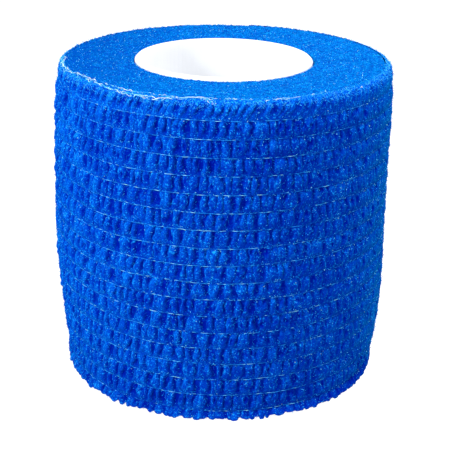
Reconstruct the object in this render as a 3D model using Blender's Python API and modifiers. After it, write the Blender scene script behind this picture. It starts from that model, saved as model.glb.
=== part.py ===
"""A cohesive bandage roll: a 50 mm wide strip of self-adherent bandage wound on a plastic core.

Metres, +Z up. The roll stands on its end. The origin is in the middle of the core, on the surface
that the roll stands on. Run it in Blender: blender --background --python part.py
"""

import math
from collections import namedtuple

import bpy

# Driving dimensions
STRIP_WIDTH = 0.050
"""The bandage's width, which is the height of the standing roll."""
CORE_BORE_RADIUS = 0.0127
CORE_WALL = 0.0014
CORE_RIM_ROUND = 0.0003
FIRST_TURN_GAP = 0.0003
TURN_THICKNESS = 0.0008
"""One turn of the gathered cloth, as it lies in the roll."""

# The shape of the two ends
SHOULDER_WIDTH = 0.0011
SHOULDER_DROP = 0.0015
FOOT_ROUND = 0.0007
COLLAR_ROUND = 0.0004
"""The rounding of the first turn's upper edge, next to the core."""
END_DISH = 0.0003
"""How much lower the upper end is at the core than out near the shoulder."""

# Where the strip ends, and how short a stretch its cut end takes to meet the turn below it
CUT_END_AZIMUTH = math.radians(80)
CUT_END_STEP = math.radians(0.9)

# Facets
WOUND_STEPS = 120
CORE_STEPS = 96
ARC_STEPS = 4

# The wound side from the foot up: its mean distance from the axis, and how far its turns have crept to +X
Section = namedtuple("Section", "height radius creep")
SIDE = (
    Section(height=0.0007, radius=0.0264, creep=0.0000),
    Section(height=0.0030, radius=0.0266, creep=0.0001),
    Section(height=0.0060, radius=0.0268, creep=0.0000),
    Section(height=0.0110, radius=0.0270, creep=0.0000),
    Section(height=0.0150, radius=0.0272, creep=-0.0001),
    Section(height=0.0190, radius=0.0273, creep=-0.0003),
    Section(height=0.0240, radius=0.0272, creep=-0.0004),
    Section(height=0.0300, radius=0.0271, creep=-0.0004),
    Section(height=0.0360, radius=0.0270, creep=-0.0003),
    Section(height=0.0410, radius=0.0269, creep=-0.0001),
    Section(height=0.0450, radius=0.0268, creep=-0.0001),
    Section(height=0.0485, radius=0.0265, creep=-0.0001),
)

CORE_OUTER_RADIUS = CORE_BORE_RADIUS + CORE_WALL
FIRST_TURN_RADIUS = CORE_OUTER_RADIUS + FIRST_TURN_GAP


def empty_scene():
    for thing in list(bpy.data.objects):
        bpy.data.objects.remove(thing, do_unlink=True)


def make_material(name, colour, roughness):
    material = bpy.data.materials.new(name)
    material.use_nodes = True
    shader = material.node_tree.nodes["Principled BSDF"]
    shader.inputs["Base Color"].default_value = (*colour, 1.0)
    shader.inputs["Roughness"].default_value = roughness
    shader.inputs["Metallic"].default_value = 0.0
    return material


def quarter_ellipse(centre, width, height, first_angle, last_angle):
    """Points (radius, height) of an arc round centre, both ends included; angles are in degrees."""
    points = []
    for step in range(ARC_STEPS + 1):
        angle = math.radians(first_angle + (last_angle - first_angle) * step / ARC_STEPS)
        points.append((centre[0] + width * math.cos(angle), centre[1] + height * math.sin(angle)))
    return points


def core_outline():
    """The core's wall in section: down its outer side and back up the bore."""
    outer = CORE_OUTER_RADIUS
    bore = CORE_BORE_RADIUS
    top = STRIP_WIDTH
    soft = CORE_RIM_ROUND
    return [
        (outer - soft, top),
        (outer, top - soft),
        (outer, soft),
        (outer - soft, 0.0),
        (bore + soft, 0.0),
        (bore, soft),
        (bore, top - soft),
        (bore + soft, top),
    ]


def wound_outline():
    """The wound strip in section: from the shoulder down the side, in along the foot and up the core."""
    top_section = SIDE[-1]
    foot_section = SIDE[0]
    shoulder_centre = (top_section.radius - SHOULDER_WIDTH, STRIP_WIDTH - SHOULDER_DROP)
    foot_centre = (foot_section.radius - FOOT_ROUND, FOOT_ROUND)
    collar_centre = (FIRST_TURN_RADIUS + COLLAR_ROUND, STRIP_WIDTH - END_DISH - COLLAR_ROUND)
    shoulder = quarter_ellipse(shoulder_centre, SHOULDER_WIDTH, SHOULDER_DROP, 90, 0)
    side = [(section.radius, section.height) for section in reversed(SIDE[1:-1])]
    foot = quarter_ellipse(foot_centre, FOOT_ROUND, FOOT_ROUND, 0, -90)
    core_side = [(FIRST_TURN_RADIUS, 0.0)]
    collar = quarter_ellipse(collar_centre, COLLAR_ROUND, COLLAR_ROUND, 180, 90)
    return shoulder + side + foot + core_side + collar


def turn_outline(name, outline, steps):
    """A closed outline at +X, turned once round the Z axis, as a mesh object."""
    count = len(outline)
    mesh = bpy.data.meshes.new(name)
    points = [(radius, 0.0, height) for radius, height in outline]
    edges = [(index, (index + 1) % count) for index in range(count)]
    mesh.from_pydata(points, edges, [])
    turned = bpy.data.objects.new(name, mesh)
    screw = turned.modifiers.new("Turn", "SCREW")
    screw.steps = steps
    screw.render_steps = steps
    screw.use_merge_vertices = True
    screw.merge_threshold = 0.00001
    return turned


def apply_modifiers(thing):
    graph = bpy.context.evaluated_depsgraph_get()
    mesh = bpy.data.meshes.new_from_object(thing.evaluated_get(graph))
    thing.modifiers.clear()
    thing.data = mesh


def creep_at(height):
    """How far the turns have crept to +X at this height."""
    if height <= SIDE[0].height:
        return SIDE[0].creep
    for below, above in zip(SIDE, SIDE[1:]):
        if height <= above.height:
            share = (height - below.height) / (above.height - below.height)
            return below.creep + (above.creep - below.creep) * share
    return SIDE[-1].creep


def angle_from_cut_end(x, y):
    """How far round a point lies from the step at the cut end. The last column of points before the
    step is pulled up to it, which makes the step steep."""
    column = round(WOUND_STEPS * math.atan2(y, x) / (2 * math.pi)) % WOUND_STEPS
    if column == WOUND_STEPS - 1:
        return 2 * math.pi - CUT_END_STEP
    return 2 * math.pi * column / WOUND_STEPS


def wind_up(mesh):
    """Turns the round body into a wound one: the last turn gains one thickness on its way round, and
    steps down at the strip's cut end. The first turn, on the core, stays round and central."""
    wound_depth = SIDE[0].radius - FIRST_TURN_RADIUS
    for vertex in mesh.vertices:
        radius = math.hypot(vertex.co.x, vertex.co.y)
        angle = angle_from_cut_end(vertex.co.x, vertex.co.y)
        share = min(1.0, (radius - FIRST_TURN_RADIUS) / wound_depth)
        wound_radius = radius + share * TURN_THICKNESS * (angle / (2 * math.pi) - 0.5)
        azimuth = CUT_END_AZIMUTH + angle
        vertex.co.x = wound_radius * math.cos(azimuth) + share * creep_at(vertex.co.z)
        vertex.co.y = wound_radius * math.sin(azimuth)


def shade_round(mesh, sharp_angle):
    mesh.shade_smooth()
    mesh.set_sharp_from_angle(angle=math.radians(sharp_angle))


def make_core(collection):
    core = turn_outline("core", core_outline(), CORE_STEPS)
    collection.objects.link(core)
    apply_modifiers(core)
    shade_round(core.data, 40)
    core.data.materials.append(make_material("core_plastic", (0.90, 0.91, 0.92), 0.35))


def make_bandage(collection):
    bandage = turn_outline("bandage", wound_outline(), WOUND_STEPS)
    collection.objects.link(bandage)
    apply_modifiers(bandage)
    wind_up(bandage.data)
    shade_round(bandage.data, 50)
    bandage.data.materials.append(make_material("bandage_cloth", (0.003, 0.115, 0.62), 0.85))


def main():
    empty_scene()
    collection = bpy.data.collections.new("cohesive_bandage_roll")
    bpy.context.scene.collection.children.link(collection)
    make_core(collection)
    make_bandage(collection)


main()
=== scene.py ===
"""The looks of a cohesive bandage roll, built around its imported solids.

The roll is one long strip wound on a plastic core. Fine elastic threads run along the strip and
draw its cloth into gathers, so the last turn shows as rows of small puffs between the threads.
The roll's two end faces are the edges of all the turns, pressed together into a felt.

Lengths are in metres, in the frame's own axes: +Z up the core, and -Y towards the camera. Places
round the roll are shares of a turn, counted from the strip's cut end at the back.
"""

import math
from collections import namedtuple

import bpy
import numpy as np
from mathutils import Matrix, Vector
from mathutils.bvhtree import BVHTree


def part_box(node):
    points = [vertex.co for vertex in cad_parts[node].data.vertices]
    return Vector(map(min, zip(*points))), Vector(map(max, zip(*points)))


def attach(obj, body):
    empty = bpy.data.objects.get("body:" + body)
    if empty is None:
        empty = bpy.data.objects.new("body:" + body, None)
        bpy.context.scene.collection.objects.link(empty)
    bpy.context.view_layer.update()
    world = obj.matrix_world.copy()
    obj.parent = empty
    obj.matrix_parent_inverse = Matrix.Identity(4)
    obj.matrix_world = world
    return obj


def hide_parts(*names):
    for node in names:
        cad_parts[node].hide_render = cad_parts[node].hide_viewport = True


MM = 0.001

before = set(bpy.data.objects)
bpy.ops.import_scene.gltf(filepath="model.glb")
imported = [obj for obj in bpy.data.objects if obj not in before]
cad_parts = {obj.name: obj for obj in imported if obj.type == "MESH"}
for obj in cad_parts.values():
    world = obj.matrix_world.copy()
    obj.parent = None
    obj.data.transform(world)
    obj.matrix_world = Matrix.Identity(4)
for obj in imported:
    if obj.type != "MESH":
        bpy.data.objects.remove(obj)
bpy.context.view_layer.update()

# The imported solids' own sizes
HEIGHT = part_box("bandage")[1].z
CORE_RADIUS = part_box("core")[1].x

# The camera, fitted to the object's outline
CAMERA_DISTANCE = 171.5 * MM
CAMERA_HEIGHT = 90.2 * MM
CAMERA_PITCH = math.radians(21.93)
CAMERA_ROLL = math.radians(1.0)
CAMERA_LENS = 87.85
CAMERA_SHIFT = (0.0092, 0.0015)

# The wound strip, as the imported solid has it
CUT_END_AZIMUTH = math.radians(80)
FRONT_SHARE = (270 - 80) / 360
"""How large a share of a turn lies between the cut end and the side at -Y."""
TURN_THICKNESS = 0.8 * MM
END_DISH = 0.3 * MM
SHOULDER_WIDTH = 1.1 * MM
SHOULDER_DROP = 1.5 * MM
SHOULDER_ARC = math.pi * math.sqrt((SHOULDER_WIDTH**2 + SHOULDER_DROP**2) / 8)
SIDE_TOP = HEIGHT - SHOULDER_DROP
RIM_LENGTH = SIDE_TOP + SHOULDER_ARC
"""The length up the side in section, from the foot to the inner end of the rounded shoulder."""
SIDE_RADIUS = 27.0 * MM
"""A round figure for turning distances along the strip into shares of a turn."""
TURN_LENGTH = 2 * math.pi * SIDE_RADIUS

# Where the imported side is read: clear of the step at the cut end, and above the rounded foot
SIDE_ROWS = 49
SIDE_COLUMNS = 181
CLEAR_SHARES = (0.001, 0.996)
SIDE_BOTTOM = 0.8 * MM

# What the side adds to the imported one: an oval foot, and a rim that draws in at one place
FOOT_OVAL = 0.60 * MM
FOOT_SQUARE = 0.26 * MM
FOOT_LEAN = 0.25 * MM
FOOT_REACH = 11 * MM
"""How far the foot bulges towards -Y and +Y and draws in at its other two sides, how far it bulges
between those, how far it leans to -X, and up to what height."""
RIM_TUCK = 0.45 * MM
RIM_TUCK_REACH = 8 * MM
TUCK_SHARE = 0.21
TUCK_SPREAD = 0.09
"""How far the rim draws in, over what height, and where round the roll."""

# The elastic threads of the strip, which part the wall into rows
THREAD_COUNT = 18
ROWS = THREAD_COUNT + 1
FIRST_THREAD = 1.4 * MM
THREAD_PITCH = 2.7 * MM
THREAD_WANDER = 0.10 * MM
THREAD_RADIUS = 0.038 * MM
THREAD_DEPTH = 0.23 * MM
THREAD_DIPS = 0.15 * MM
THREAD_STEPS = 520

# A thread's place on its colour ramp: its base, painted light at the roll's front and in a painted glint,
# and painted shade on the right side and at the edges, where the thread also lies deep
THREAD_TINT = 0.16
FRONT_PAINTED_LIGHT = 0.34
FRONT_SPREAD = 0.17
RIGHT_THREAD_PAINTED_SHADE = 0.18
EDGE_THREAD_PAINTED_SHADE = 0.15
PAINTED_GLINT = 0.60

# The last turn's worn cloth and its painted light and shade: where round the roll each is centred, and how
# far it spreads
RUBBED_SHADED_SHARE = 0.75
RUBBED_SHADED_SPREAD = 0.145
# The cloth has been worn flatter and fuzzier; this is the right side, where painted shade darkens the cloth
# and its threads.
"""The cloth has been rubbed flatter and fuzzier."""
LIT_SIDE_SHARE = 0.35
LIT_SIDE_SPREAD = 0.11
# The lit left side, where painted light makes the cloth lighter.
"""The cloth's nap stands up and looks paler."""
SUNK_SHADED_SHARES = (0.29, 0.74)
SUNK_SHADED_SPREAD = 0.06
# The threads lie deeper in the cloth's fuzz; these are the roll's left and right edges, where painted shade
# darkens the cloth and the threads.
"""The threads lie deeper in the nap."""
LIT_SIDE_DROP = 0.11 * MM
# How much closer to the axis the cloth and its threads lie on the lit left side.
"""How much closer to the axis the cloth and its threads lie where they are paler."""
THREAD_RUBBED_RISE = 0.03 * MM
THREAD_SUNK_DROP = 0.16 * MM

# The puffs of cloth that hang from each thread
PUFF_PITCH = 1.25 * MM
PUFF_HEIGHT = 0.62 * MM
TOP_ROW_LEAN = 1.35 * MM
VALLEY_DEPTH = 0.62 * MM
ROW_BULGE = 0.20 * MM
PUFF_WANDER = 0.26 * MM
"""How far the puffs' flanks stray to either side."""
PUFF_LUMPS = 0.18
"""How uneven the puffs' height is, as a share of it."""
PUFF_DROOP = 0.22
"""How far the puffs hang down, as a share of their height."""
WEB_HEIGHT = 0.50
WEB_REACH = 0.45
"""How high the cloth between the puffs stands along the foot of a row, as a share of the puffs'
height, and how far up the row that fades."""
RUBBED_LEVEL = 0.80
RUBBED_FLATNESS = 0.92
"""The share of the puffs' height that rubbed cloth is evened out to, and how fully."""
THREAD_DRAW = 0.30
THREAD_DRAW_REACH = 0.30 * MM
"""How much a thread lowers the puffs that it crosses, as a share of their height, and how near."""

# Creases and holes across the puffs
CREASES_PER_ROW = 110
CREASE_RISE = 0.08 * MM
HOLES_PER_ROW = 85
HOLE_DEPTH = 0.65
"""How deep the holes are, as a share of the puffs' height there."""

# The first row's edge, which the roll stands on
FOOT_FLARE = 0.70 * MM
FOOT_CLEARANCE = 0.02 * MM
RAGGED_GAPS = 0.50 * MM
RAGGED_TUFTS = 0.15 * MM
"""How far the edge is drawn up between its puffs, and at random."""

# How far each thing shifts the wall's colour along its ramp, much of it painted light and shade
BASE_TONE = -0.05
# Puffs lighter than the valleys between them, and creases lighter still: painted shade and light
RIDGE_PAINTED_SHADE = 0.66
CREASE_PAINTED_LIGHT = 0.20
GRAIN_TONE = 1.4
"""For each millimetre of the grain's height."""
BLOTCH_TONE = 0.10
HOLE_PAINTED_SHADE = 0.26
RIGHT_HOLE_PAINTED_SHADE = 0.55
# The painted shade in a hole, and how much more of it on the right side.
"""What a hole takes away, and how much more where the cloth is rubbed."""
FLANK_PAINTED_HIGHLIGHT = 0.26
HIGH_FLANK_PAINTED_HIGHLIGHT = 0.20
# The painted highlight on the left side of a puff, and how much more at the top of its row.
"""What a puff's lit flank adds, and how much more at the top of its row."""
# Painted light on the lit left side, painted shade on the right side and at the roll's two edges
LIT_SIDE_PAINTED_LIGHT = 0.17
RIGHT_PAINTED_SHADE = 0.26
EDGE_PAINTED_SHADE = 0.05
FOOT_ROW_PAINTED_LIGHT = 0.14
RIGHT_FOOT_PAINTED_SHADE = 0.40
# Painted light on the lowest row, and the painted shade that takes over from it on the right side.
"""What the lowest row gains, and what it loses where it is rubbed."""
# Painted light on the top row, which faces up to the lamps, most on its puffs near the rim
TOP_ROW_PAINTED_LIGHT = 0.17
TOP_RIDGE_PAINTED_LIGHT = 0.15
RIM_TONE = 0.74
"""The colour's own place on the ramp where the cloth has gone over the rim."""
LOW_PAINTED_SHADE = 0.07
LOW_REACH = 9 * MM
# How much painted shade darkens the wall at the foot, and up to what height.
"""How much darker the wall is at the foot, and up to what height."""

# The wall's grid
ROW_STEPS = 11
TOP_ROW_STEPS = 13
FOOT_ROW_STEPS = 6
FOOT_LIP = (-0.85, -0.5, -0.2)
"""Levels under the first row, where the wall turns in beneath the roll."""
WALL_COLUMNS = 1180
FRONT_COLUMNS = 0.63
"""The share of the columns that go to the half turn at -Y, where they lie closer together."""
BAND_FIRST_ROWS = (0, 7, 13)
"""The wall is three meshes, one above another, which meet along threads; these are their lowest rows."""
BAND_STACKS = 3
STACK_FILL = 0.98
"""How many stretches each band is cut into, one above another, on its bake map, and how much of
its place each of them fills."""

# The end faces
FACE_GAP = 0.10 * MM
"""The gap between an end face and the core."""
LOWER_FACE = 0.12 * MM
"""How high the lower end face lies above the surface that the roll stands on."""
TURN_RIDGES = 0.02 * MM
"""How far the edge of each turn stands out of an end face."""

End = namedtuple("End", "name upward edge_height edge_inset rings columns seed")
"""One end face: where its outer edge meets the side, its grid, and the seed of its felt."""
UPPER_END = End("upper_end", True, SIDE_TOP, SHOULDER_WIDTH - 0.15 * MM, rings=84, columns=1000, seed=100)
LOWER_END = End("lower_end", False, 1.0 * MM, 0.50 * MM, rings=40, columns=600, seed=200)

# Loose fibres and threads
TUBE_SIDES = 3
FIBRE_FLOOR = 0.06 * MM
"""The height above the surface that the roll stands on which no loose fibre goes below."""

Fuzz = namedtuple("Fuzz", "name count lengths radii rises seed")
"""One kind of short fibre: how many, their range of lengths and radii in mm, and how steeply they rise."""
WALL_LINT = Fuzz("wall_lint", 8000, (0.3, 0.8), (0.022, 0.036), (0.0, 1.3), seed=21)
WALL_FLECKS = Fuzz("wall_flecks", 6500, (0.10, 0.30), (0.025, 0.045), (0.0, 0.9), seed=22)
# Pale fibres beside the threads; their light colours are partly painted glints
WALL_SPECKS = Fuzz("wall_specks", 2200, (0.08, 0.2), (0.03, 0.055), (0.0, 1.2), seed=23)
RIM_LINT = Fuzz("rim_lint", 2600, (0.2, 0.6), (0.02, 0.034), (0.0, 1.0), seed=26)
END_LINT = Fuzz("end_lint", 6000, (0.25, 0.6), (0.022, 0.038), (0.0, 0.5), seed=24)
END_FLECKS = Fuzz("end_flecks", 1000, (0.10, 0.22), (0.022, 0.038), (0.0, 0.9), seed=25)
SPECK_LEVELS = (-3, -2, -1, -1, 0, 1)
"""The levels beside each thread that hold the specks, counted up from the thread."""
RIM_LEVELS = 6
"""How many levels at the top of the wall hold the rim's lint."""

STRAND_STEPS = 90
STRAND_RADIUS = 0.034 * MM
STRAND_DIPS = 0.27 * MM
STRAND_SINK = 0.04 * MM
"""How far a loose strand rises and dips along the rim, and how deep it lies on the whole."""
Frayed = namedtuple("Frayed", "filaments spread route")
"""A loose stretch of thread on the upper rim: its number of filaments, how far they part in mm, and its
route, by azimuth in degrees and distance from the axis in mm."""
RIM_STRANDS = (
    Frayed(8, 0.34, ((184, 25.0), (190, 25.3), (197, 25.6), (204, 25.3), (212, 24.9), (221, 25.0))),
    Frayed(
        5, 0.15, ((220, 24.7), (225, 24.5), (235, 25.0), (240, 25.3), (245, 24.9), (251, 25.2), (256, 25.6))
    ),
    Frayed(
        5, 0.14, ((222, 25.2), (231, 25.8), (240, 26.0), (250, 26.0), (257, 25.6), (262, 25.1), (267, 25.6))
    ),
    Frayed(4, 0.12, ((258, 25.4), (264, 25.0), (270, 24.9), (275, 25.3))),
    Frayed(3, 0.10, ((275, 25.3), (282, 25.7), (289, 25.8), (298, 25.3), (303, 25.4), (306, 24.7))),
    Frayed(2, 0.10, ((262, 25.3), (266, 25.9), (268, 26.2))),
    Frayed(2, 0.12, ((329, 23.9), (333, 23.4), (338, 22.7))),
    Frayed(1, 0.10, ((312, 25.3), (314, 25.1), (316, 25.5))),
    Frayed(1, 0.10, ((320, 25.9), (322, 26.1), (324, 25.9))),
)

# Colours, as stops of (place on the ramp, (red, green, blue))
WALL_STOPS = (
    (0.00, (0.0001, 0.0045, 0.27)),
    (0.35, (0.0002, 0.020, 0.35)),
    (0.65, (0.0004, 0.050, 0.46)),
    (1.00, (0.0018, 0.140, 0.65)),
)
FACE_STOPS = (
    (0.00, (0.0001, 0.027, 0.31)),
    (0.45, (0.0002, 0.066, 0.38)),
    (0.75, (0.0006, 0.107, 0.45)),
    (1.00, (0.0030, 0.180, 0.56)),
)
THREAD_STOPS = (
    (0.00, (0.0004, 0.05, 0.45)),
    (0.22, (0.003, 0.15, 0.67)),
    (0.55, (0.020, 0.37, 0.90)),
    (0.92, (0.34, 0.88, 0.93)),
)
LINT_STOPS = (
    (0.0, (0.0001, 0.030, 0.36)),
    (0.6, (0.0008, 0.105, 0.57)),
    (1.0, (0.0050, 0.270, 0.80)),
)
PALE_STOPS = (
    (0.0, (0.003, 0.26, 0.80)),
    (0.6, (0.012, 0.41, 0.92)),
    (1.0, (0.120, 0.60, 0.95)),
)
# Pale fibre specks, which also stand in for painted glints of light on the fibres
SPECK_STOPS = (
    (0.00, (0.02, 0.42, 0.90)),
    (0.55, (0.10, 0.64, 0.93)),
    (0.80, (0.28, 0.84, 0.90)),
    (1.00, (0.40, 0.80, 0.42)),
)
STRAND_STOPS = (
    (0.15, (0.02, 0.38, 0.88)),
    (0.45, (0.42, 0.82, 0.94)),
    (0.75, (0.93, 0.97, 0.95)),
)
CORE_STOPS = (
    (0.3, (0.77, 0.785, 0.82)),
    (0.7, (0.80, 0.815, 0.84)),
)
FLECK_STOPS = (
    (0.60, (0, 0, 0)),
    (0.68, (1, 1, 1)),
)
FLECK_COLOUR = (0.010, 0.33, 0.88)
SHEEN_TINT = (0.0, 0.75, 0.30)
FLOOR_GREY = (0.20, 0.20, 0.20)
WHITE = (1.0, 1.0, 1.0)

# The cloth's fine pattern, as features to a millimetre, and how far its clumps shift the colour
FIBRES_PER_MM = 5.4
FLECKS_PER_MM = 3.6
CLUMPS_PER_MM = 0.9
CLUMP_SHIFT = 0.40

# The studio
WORLD_STRENGTH = 0.39
FLOOR_SIZE = 3.0
FLOOR_GLOW = 0.95
Lamp = namedtuple("Lamp", "name place size power")
LAMPS = (
    Lamp("key", place=(-0.16, -0.11, 0.14), size=0.05, power=0.385),
    Lamp("front", place=(-0.06, -0.20, 0.16), size=0.15, power=0.16),
    Lamp("overhead", place=(0.11, 0.0, 0.28), size=0.15, power=1.1),
)

Surface = namedtuple("Surface", "points crests")
"""A grid of points, with each one's place on its cloth's colour ramp."""


# ---------------------------------------------------------------- noise and small maths


def smooth_step(value):
    return value * value * (3 - 2 * value)


def soft_noise(across, up, cell, seed):
    """Smooth noise from -1 to 1 over two coordinates, with features about one cell wide."""
    size = 512
    lattice = np.random.default_rng(seed).uniform(-1, 1, (size, size))
    x = np.asarray(across) / cell
    y = np.asarray(up) / cell
    left = np.floor(x).astype(int)
    low = np.floor(y).astype(int)
    share_x = smooth_step(x - left)
    share_y = smooth_step(y - low)
    corner = [lattice[(low + dy) % size, (left + dx) % size] for dy in (0, 1) for dx in (0, 1)]
    bottom = corner[0] + (corner[1] - corner[0]) * share_x
    top = corner[2] + (corner[3] - corner[2]) * share_x
    return bottom + (top - bottom) * share_y


def bump(distance, width):
    """1 in the middle, falling off to a tenth one and a half widths away."""
    return np.exp(-((distance / width) ** 2))


def unit(vectors):
    return vectors / (np.linalg.norm(vectors, axis=-1, keepdims=True) + 1e-12)


def around(distance):
    """A distance along the strip, taken the short way round the turn."""
    return (distance + TURN_LENGTH / 2) % TURN_LENGTH - TURN_LENGTH / 2


def blended(field):
    """The highest of many overlapping shapes at each place, with soft joins."""
    return (field**4).sum(axis=1) ** 0.25


def on_turn(share, radius, height):
    """Points at arrays of shares of a turn, distances from the axis and heights."""
    azimuth = CUT_END_AZIMUTH + 2 * math.pi * share
    return np.stack([radius * np.cos(azimuth), radius * np.sin(azimuth), height + 0 * azimuth], axis=-1)


# ---------------------------------------------------------------- the roll's side


class Side:
    """How far the bandage's side lies from the core's axis, by share of a turn and height: as packed,
    but with a slightly oval foot and a rim that draws in at one place."""

    def __init__(self, node):
        points = [vertex.co for vertex in node.data.vertices]
        faces = [tuple(face.vertices) for face in node.data.polygons]
        tree = BVHTree.FromPolygons(points, faces)
        self.shares = np.linspace(*CLEAR_SHARES, SIDE_COLUMNS)
        self.heights = np.linspace(SIDE_BOTTOM, SIDE_TOP, SIDE_ROWS)
        self.radii = np.array([[self.cast(tree, share, z) for share in self.shares] for z in self.heights])

    def cast(self, tree, share, height):
        azimuth = CUT_END_AZIMUTH + 2 * math.pi * share
        direction = Vector((math.cos(azimuth), math.sin(azimuth), 0))
        start = direction * 0.1 + Vector((0, 0, height))
        hit = tree.ray_cast(start, -direction)[0]
        return math.hypot(hit.x, hit.y)

    def packed_radius(self, share, height):
        """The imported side's radius, blended between the four nearest places where it was read."""
        column = np.interp(share, self.shares, np.arange(len(self.shares)))
        row = np.interp(height, self.heights, np.arange(len(self.heights)))
        left = np.minimum(column.astype(int), len(self.shares) - 2)
        low = np.minimum(row.astype(int), len(self.heights) - 2)
        dx = column - left
        dy = row - low
        bottom = self.radii[low, left] * (1 - dx) + self.radii[low, left + 1] * dx
        top = self.radii[low + 1, left] * (1 - dx) + self.radii[low + 1, left + 1] * dx
        return bottom * (1 - dy) + top * dy

    def radius(self, share, height):
        """The side's radius at arrays of shares of a turn and heights."""
        return self.packed_radius(share, height) - foot_squeeze(share, height) - rim_tuck(share, height)


def foot_squeeze(share, height):
    """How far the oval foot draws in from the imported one, or bulges where this is negative."""
    azimuth = CUT_END_AZIMUTH + 2 * math.pi * share
    squeeze = FOOT_LEAN * np.cos(azimuth) + FOOT_OVAL * np.cos(2 * azimuth)
    squeeze = squeeze + FOOT_SQUARE * np.cos(4 * azimuth)
    return squeeze * np.clip(1 - height / FOOT_REACH, 0, 1) ** 2


def rim_tuck(share, height):
    """How far the rim draws in at the one place where it does."""
    near_rim = np.clip(1 - (SIDE_TOP - height) / RIM_TUCK_REACH, 0, 1)
    return RIM_TUCK * bump(share - TUCK_SHARE, TUCK_SPREAD) * near_rim**2


def section(length):
    """The side in section, by length up from the foot: inset from the side, height and outward normal."""
    turn = np.clip((length - SIDE_TOP) / SHOULDER_ARC, 0, 1) * math.pi / 2
    beyond = np.maximum(length - SIDE_TOP - SHOULDER_ARC, 0)
    under = np.maximum(-length, 0)
    inset = SHOULDER_WIDTH * (1 - np.cos(turn)) + beyond + under
    height = np.clip(length, 0, SIDE_TOP) + SHOULDER_DROP * np.sin(turn)
    return inset, height, np.cos(turn), np.sin(turn)


def thread_lines(places):
    """The length up the section of the foot, each thread and the rim, at places along the strip."""
    lines = [np.zeros_like(places)]
    for index in range(THREAD_COUNT):
        wander = soft_noise(places, np.full_like(places, index * 0.37), 9 * MM, 40 + index)
        lines.append(FIRST_THREAD + THREAD_PITCH * index + THREAD_WANDER * wander)
    lines.append(np.full_like(places, RIM_LENGTH))
    return np.array(lines)


# Places round the roll: worn cloth, and where painted light and shade go
WearAndShading = namedtuple("WearAndShading", "rubbed paler sunk")


def wear_and_shading_at(shares):
    """How worn and shaded the right side is, where the lit left side is, and where the threads lie deep at
    the shaded edges, each from 0 to 1.
    """
    rubbed = bump(shares - RUBBED_SHADED_SHARE, RUBBED_SHADED_SPREAD)
    paler = bump(shares - LIT_SIDE_SHARE, LIT_SIDE_SPREAD)
    sunk = sum(bump(shares - share, SUNK_SHADED_SPREAD) for share in SUNK_SHADED_SHARES)
    return WearAndShading(rubbed, paler, sunk)


# ---------------------------------------------------------------- meshes and strands


def mesh_object(name, points, faces, material):
    mesh = bpy.data.meshes.new(name)
    mesh.from_pydata(np.asarray(points).reshape(-1, 3).tolist(), [], faces)
    mesh.materials.append(material)
    mesh.shade_smooth()
    piece = bpy.data.objects.new(name, mesh)
    bpy.context.scene.collection.objects.link(piece)
    return piece


def grid_faces(rows, columns):
    corner = np.arange(rows - 1)[:, None] * columns + np.arange(columns - 1)[None, :]
    corner = corner.ravel()
    return np.stack([corner, corner + 1, corner + columns + 1, corner + columns], axis=1)


def point_attribute(piece, name, values):
    attribute = piece.data.attributes.new(name, "FLOAT", "POINT")
    attribute.data.foreach_set("value", np.asarray(values, np.float32).ravel())


def bake_map(piece, corners):
    """The map that an export bakes colours into, from one (u, v) pair for each face corner."""
    layer = piece.data.uv_layers.new(name="OFBake")
    layer.data.foreach_set("uv", np.asarray(corners, np.float32).ravel())


def stacked_map(piece, rows, columns, stacks):
    """Maps a long low grid as shorter stretches of it, stacked one above another."""
    stretch = math.ceil((columns - 1) / stacks)
    row, column = np.divmod(np.arange((rows - 1) * (columns - 1)), columns - 1)
    stack, place = np.divmod(column, stretch)
    u = (place[:, None] + np.array([0, 1, 1, 0])) / stretch
    v = (stack[:, None] + STACK_FILL * (row[:, None] + np.array([0, 0, 1, 1])) / (rows - 1)) / stacks
    bake_map(piece, np.stack([u, v], axis=-1))


def tube_points(paths, radii, taper):
    """The points of thin tubes round their paths, by strand, step and side. taper is how wide their
    two ends are, as a share of their radii."""
    along = unit(np.gradient(paths, axis=1))
    aside = unit(paths * np.array([1.0, 1.0, 0.0])) + np.array([0.013, 0.007, 0.31])
    first = unit(np.cross(along, aside))
    second = np.cross(along, first)
    angles = 2 * math.pi * np.arange(TUBE_SIDES) / TUBE_SIDES
    ring = first[:, :, None] * np.cos(angles)[:, None] + second[:, :, None] * np.sin(angles)[:, None]
    widths = np.full(paths.shape[1], 1.0)
    widths[[0, -1]] = taper
    return paths[:, :, None] + ring * (radii[:, None] * widths[None, :])[:, :, None, None]


def tube_faces(strands, steps):
    """The faces round thin tubes, and then those that close their starts and ends."""
    index = np.arange(strands * steps * TUBE_SIDES).reshape(strands, steps, TUBE_SIDES)
    turned = np.roll(index, -1, axis=2)
    walls = np.stack([index[:, :-1], turned[:, :-1], turned[:, 1:], index[:, 1:]], axis=-1)
    return walls.reshape(-1, 4).tolist() + index[:, 0, ::-1].tolist() + index[:, -1].tolist()


def tube_map(piece, strands, steps):
    """Gives each tube its own cell of the bake map, with its length across and its girth up."""
    cells = 1 if strands < 40 else math.ceil(math.sqrt(strands))
    levels = math.ceil(strands / cells)
    strand, step, side = np.indices((strands, steps - 1, TUBE_SIDES)).reshape(3, -1)
    cell_u = (strand % cells)[:, None]
    cell_v = (strand // cells)[:, None]
    u = (cell_u + 0.1 + 0.8 * (step[:, None] + np.array([0, 0, 1, 1])) / (steps - 1)) / cells
    v = (cell_v + 0.1 + 0.8 * (side[:, None] + np.array([0, 1, 1, 0])) / TUBE_SIDES) / levels
    walls = np.stack([u, v], axis=-1).reshape(-1, 2)
    cap_strand = np.repeat(np.arange(strands), TUBE_SIDES)
    cap_v = (cap_strand // cells + 0.5) / levels
    starts = np.stack([(cap_strand % cells + 0.15) / cells, cap_v], axis=-1)
    ends = np.stack([(cap_strand % cells + 0.85) / cells, cap_v], axis=-1)
    bake_map(piece, np.concatenate([walls, starts, ends]))


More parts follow.
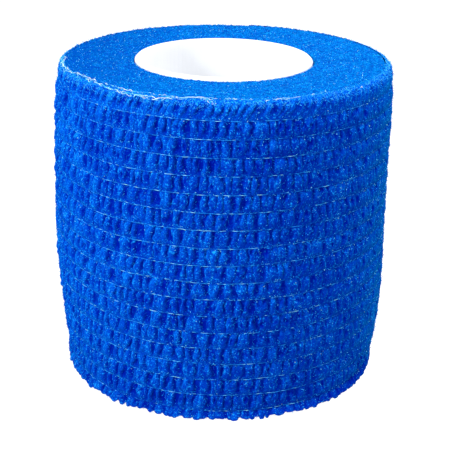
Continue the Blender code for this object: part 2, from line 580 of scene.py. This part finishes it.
def strand_tubes(name, paths, radius, material, tint, taper):
    """One mesh of thin closed tubes. paths holds strands, points along each, and x, y, z; radius and
    tint are one for all, or one for each strand, and tint may be one for each point too."""
    paths = np.asarray(paths, float)
    strands, steps, _ = paths.shape
    radii = np.broadcast_to(np.asarray(radius, float), (strands,))
    points = tube_points(paths, radii, taper)
    piece = mesh_object(name, points, tube_faces(strands, steps), material)
    tints = np.asarray(tint, float).reshape(strands, -1, 1) + np.zeros((strands, steps, TUBE_SIDES))
    point_attribute(piece, "tint", tints)
    tube_map(piece, strands, steps)
    return piece


# ---------------------------------------------------------------- materials


def new_material(name):
    material = bpy.data.materials.new(name)
    material.use_nodes = True
    return material, material.node_tree, material.node_tree.nodes["Principled BSDF"]


def add_node(tree, kind, **settings):
    node = tree.nodes.new(kind)
    for key, value in settings.items():
        setattr(node, key, value)
    return node


def ramp(tree, factor, stops):
    """A colour ramp of (position, (red, green, blue)) stops, fed by a socket."""
    node = tree.nodes.new("ShaderNodeValToRGB")
    elements = node.color_ramp.elements
    while len(elements) < len(stops):
        elements.new(0.5)
    for element, (position, colour) in zip(elements, stops):
        element.position = position
        element.color = (*colour, 1.0)
    tree.links.new(factor, node.inputs["Fac"])
    return node.outputs["Color"]


def maths(tree, operation, *values):
    node = add_node(tree, "ShaderNodeMath", operation=operation)
    for socket, value in zip(node.inputs, values):
        if isinstance(value, (int, float)):
            socket.default_value = value
        else:
            tree.links.new(value, socket)
    return node.outputs["Value"]


def object_noise(tree, per_mm, detail, stretch=(1.0, 1.0, 1.0), offset=0.0):
    """Noise over the object's own coordinates, with features 1 / per_mm millimetres across."""
    coordinates = tree.nodes.new("ShaderNodeTexCoord")
    mapping = tree.nodes.new("ShaderNodeMapping")
    mapping.inputs["Scale"].default_value = stretch
    mapping.inputs["Location"].default_value = (offset, offset, offset)
    noise = tree.nodes.new("ShaderNodeTexNoise")
    noise.inputs["Scale"].default_value = per_mm / MM
    noise.inputs["Detail"].default_value = detail
    tree.links.new(coordinates.outputs["Object"], mapping.inputs["Vector"])
    tree.links.new(mapping.outputs["Vector"], noise.inputs["Vector"])
    return noise.outputs["Fac"]


def add_bump(tree, shader, height, distance, strength):
    node = tree.nodes.new("ShaderNodeBump")
    node.inputs["Distance"].default_value = distance
    node.inputs["Strength"].default_value = strength
    tree.links.new(height, node.inputs["Height"])
    tree.links.new(node.outputs["Normal"], shader.inputs["Normal"])


def cloth_colour(tree, stops, fibres, grain):
    """A colour that follows the mesh's tone-and-shade attribute, which carries painted light and shade,
    broken up by fibres and clumps, with flecks.
    """
    crest = add_node(tree, "ShaderNodeAttribute", attribute_name="crest").outputs["Fac"]
    clumps = object_noise(tree, CLUMPS_PER_MM, 2.0)
    flecks = object_noise(tree, FLECKS_PER_MM, 1.0, offset=3.7)
    shift = maths(tree, "MULTIPLY_ADD", fibres, grain, -grain / 2)
    patch = maths(tree, "MULTIPLY_ADD", clumps, CLUMP_SHIFT, -CLUMP_SHIFT / 2)
    level = maths(tree, "ADD", maths(tree, "ADD", crest, shift), patch)
    mix = add_node(tree, "ShaderNodeMix", data_type="RGBA")
    tree.links.new(maths(tree, "MULTIPLY", ramp(tree, flecks, FLECK_STOPS), level), mix.inputs["Factor"])
    tree.links.new(ramp(tree, level, stops), mix.inputs["A"])
    mix.inputs["B"].default_value = (*FLECK_COLOUR, 1.0)
    return mix.outputs["Result"]


def cloth_material(name, stops, grain, fibre_bump):
    """Blue nonwoven. grain is how far its fibres shift its colour along the ramp, and fibre_bump how high
    they seem to stand."""
    material, tree, shader = new_material(name)
    fibres = object_noise(tree, FIBRES_PER_MM, 3.0)
    tree.links.new(cloth_colour(tree, stops, fibres, grain), shader.inputs["Base Color"])
    shader.inputs["Roughness"].default_value = 0.85
    shader.inputs["Specular IOR Level"].default_value = 0.0
    shader.inputs["Sheen Weight"].default_value = 0.14
    shader.inputs["Sheen Roughness"].default_value = 0.5
    shader.inputs["Sheen Tint"].default_value = (*SHEEN_TINT, 1.0)
    add_bump(tree, shader, fibres, fibre_bump, 1.0)
    return material


def fibre_material(name, stops, roughness):
    """Loose fibres and threads, each with its own tint from the ramp."""
    material, tree, shader = new_material(name)
    tint = add_node(tree, "ShaderNodeAttribute", attribute_name="tint").outputs["Fac"]
    tree.links.new(ramp(tree, tint, stops), shader.inputs["Base Color"])
    shader.inputs["Roughness"].default_value = roughness
    shader.inputs["Specular IOR Level"].default_value = 0.05
    return material


def core_material():
    """Smooth white plastic that lets a little light through, with faint flow marks along the tube."""
    material, tree, shader = new_material("core_plastic")
    flow = object_noise(tree, 0.12, 2.0, stretch=(1.0, 1.0, 0.3))
    tree.links.new(ramp(tree, flow, CORE_STOPS), shader.inputs["Base Color"])
    shader.inputs["Roughness"].default_value = 0.38
    shader.inputs["Subsurface Weight"].default_value = 0.35
    shader.inputs["Subsurface Radius"].default_value = (1.0, 1.0, 1.0)
    shader.inputs["Subsurface Scale"].default_value = 1.5 * MM
    add_bump(tree, shader, object_noise(tree, 1.5, 3.0), 0.01 * MM, 0.3)
    return material


# ---------------------------------------------------------------- the gathered side


class Puffs:
    """Rows of rounded puffs, one row under each thread, which run together at the foot of their row."""

    def __init__(self, rows, seed):
        rng = np.random.default_rng(seed)
        shape = (rows, round(TURN_LENGTH / PUFF_PITCH))
        slots = (np.arange(shape[1]) + rng.uniform(0, 1, (rows, 1))) * TURN_LENGTH / shape[1]
        self.top = slots + rng.uniform(-0.34, 0.34, shape) * PUFF_PITCH
        self.lean = rng.uniform(-0.30, 0.40, shape) * MM
        self.lean[-1] = 0.4 * self.lean[-1] + TOP_ROW_LEAN
        self.bow = rng.uniform(-0.15, 0.15, shape) * MM
        self.height = rng.uniform(0.66, 1.0, shape)
        self.half_width = rng.uniform(0.42, 0.70, shape) * MM
        self.half_width[-1] *= 0.66
        self.height[-1] *= 0.85
        self.end = rng.uniform(1.03, 1.30, shape)
        self.fall = rng.uniform(0.30, 0.85, shape)

    def field(self, row, level, places):
        """Along one level of a row, at places along the strip: each puff's height from 0 to 1, and how
        strongly a painted highlight falls on the puff's left side."""
        rounding = np.sqrt(np.clip(1 - (max(level - 0.40, 0) / (self.end[row] - 0.40)) ** 2, 0, 1))
        fading = self.fall[row] + (1 - self.fall[row]) * smooth_step(min(1.0, level / 0.50))
        centre = self.top[row] - self.lean[row] * (1 - level) + self.bow[row] * math.sin(math.pi * level)
        half_width = self.half_width[row] * (0.25 + 0.75 * rounding)
        aside = around(places[:, None] - centre[None, :]) / half_width
        dome = np.sqrt(np.clip(1 - np.abs(aside) ** 2.2, 0, 1))
        height = self.height[row] * fading * rounding**0.6
        return height * dome, height * bump(aside + 0.74, 0.19)


class Crumples:
    """Short oval shapes at any angle: creases and small holes lying across the puffs. Their half widths
    and lengths are ranges in mm."""

    def __init__(self, rows, count, half_width, half_length, levels, seed):
        rng = np.random.default_rng(seed)
        shape = (rows, count)
        self.place = rng.uniform(0, TURN_LENGTH, shape)
        self.level = rng.uniform(*levels, shape)
        steep = rng.uniform(0, 1, shape) < 0.65
        self.angle = np.where(steep, rng.uniform(-0.4, 0.4, shape), rng.uniform(0.7, 2.4, shape))
        self.half_width = rng.uniform(*half_width, shape) * MM
        self.half_length = rng.uniform(*half_length, shape) * MM
        self.height = rng.uniform(0.50, 1.0, shape)

    def field(self, row, level, row_height, places):
        across = around(places[:, None] - self.place[row][None, :])
        up = (level - self.level[row]) * row_height
        cosine = np.cos(self.angle[row])
        sine = np.sin(self.angle[row])
        beside = (across * cosine - up * sine) / self.half_width[row]
        along = (across * sine + up * cosine) / self.half_length[row]
        return self.height[row] * np.exp(-(beside**2) - along**4)


def row_levels():
    """Every level of the wall's grid, as (row, level from 0 to 1), and the first level of each row."""
    levels = [(0, level) for level in FOOT_LIP]
    firsts = []
    for row in range(ROWS):
        steps = FOOT_ROW_STEPS if row == 0 else TOP_ROW_STEPS if row == ROWS - 1 else ROW_STEPS
        firsts.append(len(levels))
        levels += [(row, step / steps) for step in range(steps)]
    levels.append((ROWS - 1, 1.0))
    firsts[0] = 0
    return levels, firsts


def column_shares():
    """The shares of a turn at which the wall's columns stand."""
    back = (1 - FRONT_COLUMNS) / 2
    stops = (0, back, 1 - back, 1)
    shares = (0, FRONT_SHARE - 0.25, FRONT_SHARE + 0.25, 1)
    return np.interp(np.linspace(0, 1, WALL_COLUMNS), stops, shares)


def with_cut_end(grid):
    """The grid with its first column again as its last, which closes the step at the strip's cut end."""
    return np.concatenate([grid, grid[:, :1]], axis=1)


def row_painted_shade(within):
    """Painted light and shade from the foot of a row to its top: lightest at the top and darkest a little
    below the middle.
    """
    return 0.08 * (2 * within - 1) ** 2 + 0.18 * within - 0.15 - 0.03 * bump(within - 0.45, 0.2)


Level = namedtuple("Level", "row level within over_rim length row_height")
"""One level of the wall's grid: its row, how far up the row it is, the same but never below the foot,
how far it has gone over the rim, its length up the section, and its row's height."""
Relief = namedtuple("Relief", "puff flank ridge crease hole grain")
# The shapes along one level: its puffs, the painted highlights on their left sides, the cloth's height with
# all of them, its creases and its holes, each from 0 to about 1, and its grain in metres.
"""The shapes along one level: its puffs, their lit flanks, the cloth's height with all of them, its
creases and its holes, each from 0 to about 1, and its grain in metres."""


class Wall:
    """The gathered side of the last turn: points and their places on the colour ramp, painted shade
    included, level by level from the foot to the rim, and the first level of each row."""

    def __init__(self, side):
        self.side = side
        self.puffs = Puffs(ROWS, seed=3)
        self.creases = Crumples(ROWS, CREASES_PER_ROW, (0.11, 0.20), (0.25, 0.60), (0.1, 0.9), seed=4)
        self.holes = Crumples(ROWS, HOLES_PER_ROW, (0.18, 0.30), (0.28, 0.48), (0.5, 0.88), seed=5)
        self.shares = column_shares()
        self.places = self.shares * TURN_LENGTH
        self.lines = thread_lines(self.places)
        self.wear_and_shading = wear_and_shading_at(self.shares)
        levels, self.firsts = row_levels()
        surfaces = [self.surface_at(self.level_at(row, level)) for row, level in levels]
        self.points = with_cut_end(np.array([surface.points for surface in surfaces]))
        self.crests = with_cut_end(np.array([surface.crests for surface in surfaces]))

    def level_at(self, row, level):
        rise = self.lines[row + 1] - self.lines[row]
        length = self.lines[row] + rise * level
        over_rim = smooth_step(max(0.0, (level - 0.5) / 0.5)) if row == ROWS - 1 else 0.0
        return Level(row, level, max(level, 0.0), over_rim, length, float(rise.mean()))

    def surface_at(self, at):
        relief = self.relief(at)
        return Surface(self.level_points(at, relief), self.level_tones_and_shades(at, relief))

    def noise(self, at, cell, seed):
        return soft_noise(self.places, at.length, cell, seed)

    def relief(self, at):
        warped = self.places + PUFF_WANDER * self.noise(at, 0.75 * MM, 7)
        puff, flank = (blended(field) for field in self.puffs.field(at.row, at.within, warped))
        crease = blended(self.creases.field(at.row, at.within, at.row_height, self.places))
        hole = blended(self.holes.field(at.row, at.within, at.row_height, self.places))
        web = WEB_HEIGHT * (1 - smooth_step(min(1.0, at.within / WEB_REACH))) * (1 - at.over_rim)
        lump = 1 + PUFF_LUMPS * self.noise(at, 0.55 * MM, 8)
        ridge = (puff**4 + web**4) ** 0.25 * lump
        evened = ridge + (RUBBED_LEVEL - ridge) * RUBBED_FLATNESS * self.wear_and_shading.rubbed
        grain = 0.05 * MM * self.noise(at, 0.45 * MM, 11) + 0.04 * MM * self.noise(at, 0.24 * MM, 12)
        return Relief(puff, flank, evened * (1 - HOLE_DEPTH * hole), crease, hole, grain)

    def lift(self, at, relief):
        """How far the cloth stands out from the side, square to it."""
        to_thread = (1 - at.within if at.row == 0 else min(at.within, 1 - at.within)) * at.row_height
        near_thread = bump(to_thread, THREAD_DRAW_REACH) * (1 - at.over_rim)
        bulge = ROW_BULGE * math.sin(math.pi * min(1.0, 0.15 + at.within * 0.85)) ** 0.8
        swell = 0.08 * MM * self.noise(at, 14 * MM, 13)
        raised = relief.ridge * PUFF_HEIGHT * (1 - THREAD_DRAW * near_thread)
        lift = swell + bulge + 0.8 * relief.grain - VALLEY_DEPTH + raised
        lift = lift + CREASE_RISE * relief.crease - LIT_SIDE_DROP * self.wear_and_shading.paler
        if at.row == 0:
            lift = lift + FOOT_FLARE * (1 - at.within)
        rim_lift = relief.grain + 0.16 * MM * relief.ridge - 0.06 * MM
        return lift * (1 - at.over_rim) + rim_lift * at.over_rim

    def ragged(self, relief):
        """How far the foot's edge is drawn up: between its puffs, in tufts, and less where rubbed."""
        tufts = np.clip(soft_noise(self.places, self.places * 0, 1.6 * MM, 14), 0, 1)
        gaps = np.clip(1 - 1.6 * relief.puff, 0, 1)
        return (RAGGED_GAPS * gaps + RAGGED_TUFTS * tufts) * (1 - 0.7 * self.wear_and_shading.rubbed)

    def level_points(self, at, relief):
        lift = self.lift(at, relief)
        droop = PUFF_DROOP * relief.ridge * PUFF_HEIGHT * math.sin(math.pi * at.within)
        inset, height, normal_out, normal_up = section(at.length)
        radius = self.side.radius(self.shares, height) - inset + lift * normal_out
        height = height + lift * normal_up - droop * normal_out
        if at.row == 0:
            height = np.clip(height, FOOT_CLEARANCE, None) + self.ragged(relief) * (1 - abs(at.level))
        return on_turn(self.shares, radius, height)

    def shade(self, at, relief):
        """The painted light and shade across each row, in the holes, on the lit left sides of the puffs and
        low down at the foot.
        """
        rubbed = self.wear_and_shading.rubbed
        lit = (FLANK_PAINTED_HIGHLIGHT + HIGH_FLANK_PAINTED_HIGHLIGHT * at.within) * relief.flank * (1 - 0.9 * rubbed)
        shade = row_painted_shade(at.within) - (HOLE_PAINTED_SHADE + RIGHT_HOLE_PAINTED_SHADE * rubbed) * relief.hole + lit
        return shade - LOW_PAINTED_SHADE * max(0.0, 1 - float(at.length.mean()) / LOW_REACH)

    def level_tones_and_shades(self, at, relief):
        """Places on the cloth's colour ramp: its own tone, with painted shade low in the valleys and holes
        and painted light high on the puffs, by side and by row.
        """
        rubbed = self.wear_and_shading.rubbed
        height = np.sqrt(np.clip(relief.ridge, 0, None))
        crest = BASE_TONE + RIDGE_PAINTED_SHADE * height + CREASE_PAINTED_LIGHT * relief.crease
        crest = crest + GRAIN_TONE * relief.grain / MM + self.shade(at, relief) * (1 - at.over_rim)
        crest = crest + BLOTCH_TONE * self.noise(at, 4.5 * MM, 15)
        # Painted light on the lowest row, giving way to painted shade on the right side
        if at.row == 0:
            crest = crest + (FOOT_ROW_PAINTED_LIGHT - RIGHT_FOOT_PAINTED_SHADE * rubbed) * (1 - 0.5 * at.within)
        # Painted light on the top row, which faces up towards the lamps
        if at.row == ROWS - 1:
            crest = crest + TOP_ROW_PAINTED_LIGHT + TOP_RIDGE_PAINTED_LIGHT * relief.ridge * at.within
        # Painted light on the lit left side, painted shade on the right side and at the two edges
        crest = crest + LIT_SIDE_PAINTED_LIGHT * self.wear_and_shading.paler - RIGHT_PAINTED_SHADE * rubbed - EDGE_PAINTED_SHADE * self.wear_and_shading.sunk
        return crest + (RIM_TONE - crest) * at.over_rim**0.7


def make_wall(wall, material):
    """The wall's meshes, from the foot up."""
    ends = [wall.firsts[row] for row in BAND_FIRST_ROWS[1:]] + [len(wall.points) - 1]
    bands = []
    for number, (row, end) in enumerate(zip(BAND_FIRST_ROWS, ends)):
        start = wall.firsts[row]
        points = wall.points[start : end + 1]
        rows, columns = points.shape[:2]
        band = mesh_object(f"outer_turn_{number + 1}", points, grid_faces(rows, columns).tolist(), material)
        point_attribute(band, "crest", wall.crests[start : end + 1])
        stacked_map(band, rows, columns, BAND_STACKS)
        bands.append(band)
    return bands


# ---------------------------------------------------------------- threads


def make_threads(side, material):
    """The elastic threads of the last turn, one piece: they show between the puffs that hide them, and
    painted light makes them palest at the front."""
    places = np.linspace(0.2 * MM, TURN_LENGTH - 0.2 * MM, THREAD_STEPS)
    shares = places / TURN_LENGTH
    lines = thread_lines(places)
    wear_and_shading = wear_and_shading_at(shares)
    paths = []
    tints = []
    for index in range(1, THREAD_COUNT + 1):
        inset, height, _, _ = section(lines[index])
        dips = THREAD_DIPS * soft_noise(places, places * 0 + index, 0.6 * MM, 70 + index)
        radius = side.radius(shares, height) - inset - THREAD_DEPTH + THREAD_RUBBED_RISE * wear_and_shading.rubbed + dips
        radius = radius - LIT_SIDE_DROP * wear_and_shading.paler - THREAD_SUNK_DROP * wear_and_shading.sunk
        paths.append(on_turn(shares, radius, height))
        tints.append(thread_tints(places, wear_and_shading, index))
    return strand_tubes("elastic_threads", paths, THREAD_RADIUS, material, tints, taper=1.0)


def thread_tints(places, wear_and_shading, index):
    """How pale a thread is along its way: painted light at the front and in painted glints, painted shade on
    the right side and at the roll's edges.
    """
    glint = soft_noise(places, places * 0 + index, 0.35 * MM, 90 + index)
    tint = THREAD_TINT + FRONT_PAINTED_LIGHT * bump(places / TURN_LENGTH - FRONT_SHARE, FRONT_SPREAD)
    return tint - RIGHT_THREAD_PAINTED_SHADE * wear_and_shading.rubbed - EDGE_THREAD_PAINTED_SHADE * wear_and_shading.sunk + PAINTED_GLINT * glint


# ---------------------------------------------------------------- end faces


def felt_relief(x, y, seed):
    """The felt's fine grain and its broader patches, as heights, at places on an end face."""
    grain = 0.060 * MM * soft_noise(x, y, 0.36 * MM, seed + 1)
    grain = grain + 0.070 * MM * soft_noise(x, y, 0.21 * MM, seed + 2)
    return grain, 0.035 * MM * soft_noise(x, y, 1.1 * MM, seed + 3)


def edge_tuck(depth):
    """How far an end face turns in at its outer edge and beside the core. depth is 0 at the core and 1
    at the outer edge."""
    tuck = 0.5 * MM * smooth_step(np.clip((depth - 0.97) / 0.03, 0, 1))
    return tuck + 0.4 * MM * smooth_step(np.clip((0.02 - depth) / 0.02, 0, 1))


def end_surface(side, end):
    """The edges of all the turns at one end, pressed into a felt."""
    share = np.linspace(0, 1, end.columns)[None, :]
    depth = np.linspace(0, 1, end.rings)[:, None]
    inner = CORE_RADIUS + FACE_GAP
    outer = side.radius(share, np.full_like(share, end.edge_height)) - end.edge_inset
    radius = inner + (outer - inner) * depth
    azimuth = CUT_END_AZIMUTH + 2 * math.pi * share
    x = radius * np.cos(azimuth)
    y = radius * np.sin(azimuth)
    grain, patch = felt_relief(x, y, end.seed)
    wander = 0.25 * soft_noise(x, y, 2.2 * MM, end.seed + 4)
    layers = np.cos(2 * math.pi * ((radius - inner) / TURN_THICKNESS - share + wander))
    lift = grain + patch + TURN_RIDGES * layers
    dish = END_DISH * (1 - smooth_step(depth)) + edge_tuck(depth)
    height = HEIGHT - dish + lift if end.upward else LOWER_FACE + dish - lift
    # Painted shade: the end face darker towards -X, on the left
    left_painted_shade = 0.03 - 0.55 * np.clip(-x / SIDE_RADIUS, 0, 1) ** 1.5
    fuzz = 0.30 * bump(radius - inner, 0.35 * MM)
    crests = 0.45 + left_painted_shade + fuzz + 3.3 * grain / MM + 2.0 * patch / MM + 0.04 * layers
    return Surface(np.stack([x, y, height], axis=-1), crests)


def make_end_face(surface, end, material):
    faces = grid_faces(end.rings, end.columns)
    if end.upward:
        faces = faces[:, ::-1]
    piece = mesh_object(end.name, surface.points, faces.tolist(), material)
    point_attribute(piece, "crest", surface.crests)
    flat = surface.points.reshape(-1, 3)[faces.ravel(), :2]
    bake_map(piece, 0.5 + flat / (2.1 * SIDE_RADIUS))
    return piece


# ---------------------------------------------------------------- lint, specks and stray strands


def scattered(points, rows, count, rng):
    """Random places on some rows of a grid surface, with its two directions and outward normal there."""
    columns = points.shape[1]
    row = rng.choice(rows, count)
    column = rng.integers(0, columns - 1, count)
    along = points[row, column + 1] - points[row, column]
    up = points[row + 1, column] - points[row, column]
    share = rng.uniform(0, 1, (2, count, 1))
    place = points[row, column] + along * share[0] + up * share[1]
    along = unit(along)
    normal = unit(np.cross(along, up))
    return place, along, np.cross(normal, along), normal


def make_fuzz(kind, points, upright, material, rows=None):
    """Short straight fibres on a surface, or on some rows of its grid. upright is the side that faces
    out, 1 or -1."""
    rng = np.random.default_rng(kind.seed)
    if rows is None:
        rows = np.arange(len(points) - 1)
    each = (kind.count, 1)
    place, along, across, normal = scattered(points, rows, kind.count, rng)
    heading = rng.uniform(0, 2 * math.pi, each)
    rise = rng.uniform(*kind.rises, each)
    direction = unit(along * np.cos(heading) + across * np.sin(heading) + normal * upright * rise)
    reach = rng.uniform(*kind.lengths, each) * MM
    start = place - direction * reach * 0.3 + normal * upright * 0.02 * MM
    paths = np.stack([start, start + direction * reach], axis=1)
    paths[:, :, 2] = np.maximum(paths[:, :, 2], FIBRE_FLOOR)
    radii = rng.uniform(*kind.radii, kind.count) * MM
    return strand_tubes(kind.name, paths, radii, material, rng.uniform(0, 1, kind.count), taper=0.8)


def upper_end_height(side, share, radius):
    """The height of the upper end, with its shoulder and its dish, at shares of a turn and radii."""
    edge = side.radius(share, np.full_like(share, SIDE_TOP))
    out = np.clip(1 - (edge - radius) / SHOULDER_WIDTH, 0, 0.98)
    depth = np.clip((radius - CORE_RADIUS) / (edge - CORE_RADIUS), 0, 1)
    return HEIGHT - SHOULDER_DROP * (1 - np.sqrt(1 - out**2)) - END_DISH * (1 - smooth_step(depth))


def make_rim_strands(side, material):
    """Frayed pale strands of an elastic thread that has come loose along the upper rim."""
    rng = np.random.default_rng(31)
    paths = []
    tints = []
    for frayed in RIM_STRANDS:
        stops = np.array(frayed.route, float)
        at = np.linspace(0, len(stops) - 1, STRAND_STEPS)
        azimuth = np.radians(np.interp(at, np.arange(len(stops)), stops[:, 0]))
        middle = np.interp(at, np.arange(len(stops)), stops[:, 1]) * MM
        share = ((azimuth - CUT_END_AZIMUTH) / (2 * math.pi)) % 1
        along = azimuth * middle
        for _ in range(frayed.filaments):
            line = np.full(STRAND_STEPS, rng.uniform(0, 500) * MM)
            stray = frayed.spread * MM * (soft_noise(along, line, 1.3 * MM, 51) + rng.uniform(-0.6, 0.6))
            radius = middle + stray + 0.03 * MM * soft_noise(along, line, 0.4 * MM, 52)
            dips = STRAND_DIPS * soft_noise(along, line, 0.5 * MM, 53) - STRAND_SINK
            paths.append(on_turn(share, radius, upper_end_height(side, share, radius) + dips))
            tints.append(0.36 + 0.7 * soft_noise(along, line, 0.7 * MM, 54))
    return strand_tubes("rim_strands", paths, STRAND_RADIUS, material, tints, taper=0.5)


# ---------------------------------------------------------------- light, floor and camera


def area_light(lamp, target):
    data = bpy.data.lights.new(lamp.name, "AREA")
    data.shape = "DISK"
    data.size = lamp.size
    data.energy = lamp.power
    light = bpy.data.objects.new(lamp.name, data)
    bpy.context.scene.collection.objects.link(light)
    light.location = lamp.place
    light.visible_camera = False
    light.rotation_euler = (Vector(target) - Vector(lamp.place)).to_track_quat("-Z", "Y").to_euler()


def make_floor():
    """Plain pale paper under the roll. It glows, so it shows no edge and hardly any shadow."""
    bpy.ops.mesh.primitive_plane_add(size=FLOOR_SIZE, location=(0, 0, 0))
    floor = bpy.context.active_object
    floor.name = "floor"
    material, _, shader = new_material("floor_paper")
    shader.inputs["Base Color"].default_value = (*FLOOR_GREY, 1.0)
    shader.inputs["Roughness"].default_value = 0.9
    shader.inputs["Emission Color"].default_value = (*WHITE, 1.0)
    shader.inputs["Emission Strength"].default_value = FLOOR_GLOW
    floor.data.materials.append(material)


def make_studio():
    scene = bpy.context.scene
    world = bpy.data.worlds.new("studio")
    world.use_nodes = True
    background = world.node_tree.nodes["Background"]
    background.inputs["Color"].default_value = (*WHITE, 1.0)
    background.inputs["Strength"].default_value = WORLD_STRENGTH
    scene.world = world
    scene.view_settings.view_transform = "Standard"
    for lamp in LAMPS:
        area_light(lamp, (0, 0, HEIGHT / 2))
    make_floor()


def make_camera():
    data = bpy.data.cameras.new("camera")
    data.sensor_width = 36.0
    data.lens = CAMERA_LENS
    data.shift_x, data.shift_y = CAMERA_SHIFT
    camera = bpy.data.objects.new("camera", data)
    bpy.context.scene.collection.objects.link(camera)
    place = Matrix.Translation((0, -CAMERA_DISTANCE, CAMERA_HEIGHT))
    tilt = Matrix.Rotation(math.pi / 2 - CAMERA_PITCH, 4, "X")
    camera.matrix_world = place @ tilt @ Matrix.Rotation(CAMERA_ROLL, 4, "Z")
    bpy.context.scene.camera = camera


# ---------------------------------------------------------------- the whole object


def make_cloth(side):
    """The last turn, with its lint, and the two end faces, with theirs."""
    cloth = cloth_material("bandage_cloth", WALL_STOPS, grain=1.35, fibre_bump=0.08 * MM)
    felt = cloth_material("bandage_edges", FACE_STOPS, grain=3.0, fibre_bump=0.12 * MM)
    lint = fibre_material("blue_lint", LINT_STOPS, 0.8)
    pale_lint = fibre_material("pale_lint", PALE_STOPS, 0.7)
    # Pale fibres whose light colours are partly painted glints
    specks_and_glints = fibre_material("specks_and_glints", SPECK_STOPS, 0.6)
    wall = Wall(side)
    upper_end = end_surface(side, UPPER_END)
    lower_end = end_surface(side, LOWER_END)
    beside_threads = [first + step for first in wall.firsts[1:] for step in SPECK_LEVELS]
    at_rim = range(len(wall.points) - 1 - RIM_LEVELS, len(wall.points) - 1)
    return make_wall(wall, cloth) + [
        make_end_face(upper_end, UPPER_END, felt),
        make_end_face(lower_end, LOWER_END, felt),
        make_fuzz(WALL_LINT, wall.points, 1, lint),
        make_fuzz(WALL_FLECKS, wall.points, 1, pale_lint),
        make_fuzz(WALL_SPECKS, wall.points, 1, specks_and_glints, beside_threads),
        make_fuzz(RIM_LINT, wall.points, 1, pale_lint, at_rim),
        make_fuzz(END_LINT, upper_end.points, -1, lint),
        make_fuzz(END_FLECKS, upper_end.points, -1, specks_and_glints),
    ]


def make_elastic(side):
    """The threads in the last turn, and the frayed one on the rim."""
    elastic = fibre_material("elastic_thread", THREAD_STOPS, 0.5)
    strands = fibre_material("pale_strands", STRAND_STOPS, 0.5)
    return [make_threads(side, elastic), make_rim_strands(side, strands)]


make_camera()
make_studio()

bandage_side = Side(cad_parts["bandage"])
cloth_pieces = make_cloth(bandage_side)
elastic_pieces = make_elastic(bandage_side)
for piece in cloth_pieces:
    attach(piece, "root")
for piece in elastic_pieces:
    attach(piece, "root")
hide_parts("bandage")

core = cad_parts["core"]
core.data.materials.clear()
core.data.materials.append(core_material())
